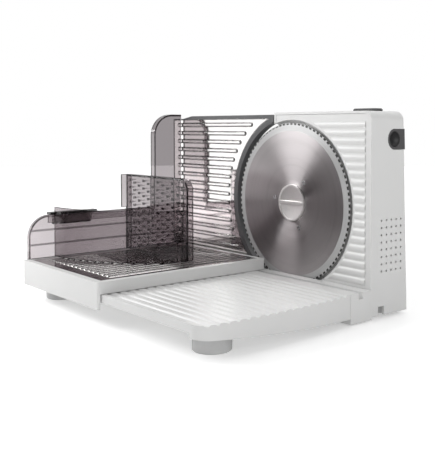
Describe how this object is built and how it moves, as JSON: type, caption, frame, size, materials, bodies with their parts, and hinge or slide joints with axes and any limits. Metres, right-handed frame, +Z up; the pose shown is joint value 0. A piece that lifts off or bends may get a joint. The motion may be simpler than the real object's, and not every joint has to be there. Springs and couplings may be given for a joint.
{
  "type": "electric food slicer",
  "caption": "Electric food slicer: round serrated blade on a geared motor, adjustable ribbed gauge plate, sliding carriage with smoke guard and spiked pusher, ribbed table, two-button switch.",
  "frame": {"origin": "centre of the bounding box's bottom face, on the plane of the feet", "axes": "+X along the cutting plane from the carriage side to the housing side, +Y from the table back through the blade into the housing, +Z up"},
  "size_m": [0.3399, 0.279, 0.2043],
  "materials": {
    "white_plastic": "satin",
    "rubber": "matte",
    "dark_plastic": "satin",
    "switch_plastic": "matte",
    "plate_steel": "zinc plated",
    "machined_steel": "turned",
    "spring_steel": "phosphated",
    "screw_steel": "zinc plated",
    "ferrite": "matte",
    "blade_steel": "radially ground",
    "gear_plastic": "matte",
    "lock_metal": "satin",
    "rotor_steel": "matte",
    "brass": "turned",
    "gauge_plastic": "satin",
    "sheet_steel": "polished",
    "smoke_plastic": "clear smoke tint",
    "top_button_plastic": "satin"
  },
  "bodies": {
    "base": {"housing_shell": "white_plastic", "front_panel": "white_plastic", "base_block": "white_plastic", "table": "white_plastic", "rubber_feet": "rubber", "side_bezel": "dark_plastic", "power_switch": "switch_plastic", "interlock_switch": "switch_plastic", "cord_grommet": "rubber", "gearbox_plate": "plate_steel", "stub_axle": "machined_steel", "idler_pin": "machined_steel", "idler_clip": "spring_steel", "motor_can": "plate_steel", "motor_cap": "switch_plastic", "motor_magnets": "ferrite", "guide_rods": "machined_steel", "housing_screws": "screw_steel", "gearbox_screws": "screw_steel", "base_screws": "screw_steel", "table_screws": "screw_steel"},
    "blade": {"blade": "blade_steel", "blade_ring_gear": "gear_plastic", "blade_rivets": "machined_steel"},
    "blade_lock": {"blade_lock": "lock_metal"},
    "idler": {"idler_gear": "gear_plastic"},
    "rotor": {"motor_rotor": "rotor_steel", "motor_pinion": "brass"},
    "gauge": {"gauge_carrier": "gauge_plastic", "gauge_sheet": "sheet_steel", "gauge_nut": "brass", "gauge_bushes": "brass"},
    "dial": {"thickness_dial": "dark_plastic", "dial_spindle": "gear_plastic", "spindle_clip": "spring_steel"},
    "carriage": {"carriage_frame": "white_plastic", "carriage_sheet": "sheet_steel", "guard": "smoke_plastic"},
    "pusher": {"pusher_saddle": "dark_plastic", "hand_shield": "smoke_plastic", "pusher_plate": "smoke_plastic"},
    "top_button": {"top_button": "top_button_plastic"},
    "side_button": {"side_button": "dark_plastic"}
  },
  "joints": [
    {"name": "blade_spin", "type": "hinge", "parent": "base", "child": "blade", "pos_m": [0.0501, 0.06903, 0.1055], "axis": [0, 1, 0], "continuous": true},
    {"name": "blade_lock_turn", "type": "hinge", "parent": "blade", "child": "blade_lock", "pos_m": [0.0501, 0.06903, 0.1055], "axis": [0, 1, 0], "range_deg": [0, 90]},
    {"name": "idler_spin", "type": "hinge", "parent": "base", "child": "idler", "pos_m": [0.0771, 0.07903, 0.13767], "axis": [0, 1, 0], "continuous": true},
    {"name": "rotor_spin", "type": "hinge", "parent": "base", "child": "rotor", "pos_m": [0.09548, 0.08903, 0.1531], "axis": [0, 1, 0], "continuous": true},
    {"name": "thickness_turn", "type": "hinge", "parent": "base", "child": "dial", "pos_m": [0.0561, 0.12503, 0.0445], "axis": [0, 1, 0], "range_deg": [0, 300]},
    {"name": "gauge_slide", "type": "slide", "parent": "base", "child": "gauge", "axis": [0, 1, 0], "range_m": [0, 0.015]},
    {"name": "carriage_slide", "type": "slide", "parent": "base", "child": "carriage", "axis": [1, 0, 0], "range_m": [0, 0.15]},
    {"name": "pusher_slide", "type": "slide", "parent": "carriage", "child": "pusher", "axis": [0, 1, 0], "range_m": [0, 0.066]},
    {"name": "power_press", "type": "slide", "parent": "base", "child": "top_button", "axis": [0, 0, -1], "range_m": [0, 0.0023], "stiffness_N_per_m": 400, "springref_m": -0.002},
    {"name": "safety_press", "type": "slide", "parent": "base", "child": "side_button", "axis": [-1, 0, 0], "range_m": [0, 0.0025], "stiffness_N_per_m": 400, "springref_m": -0.002}
  ],
  "couplings": [
    {"joint": "idler_spin", "follows": "blade_spin", "ratio": -6},
    {"joint": "rotor_spin", "follows": "blade_spin", "ratio": 30},
    {"joint": "thickness_turn", "follows": "gauge_slide", "rad_per_m": 349}
  ]
}
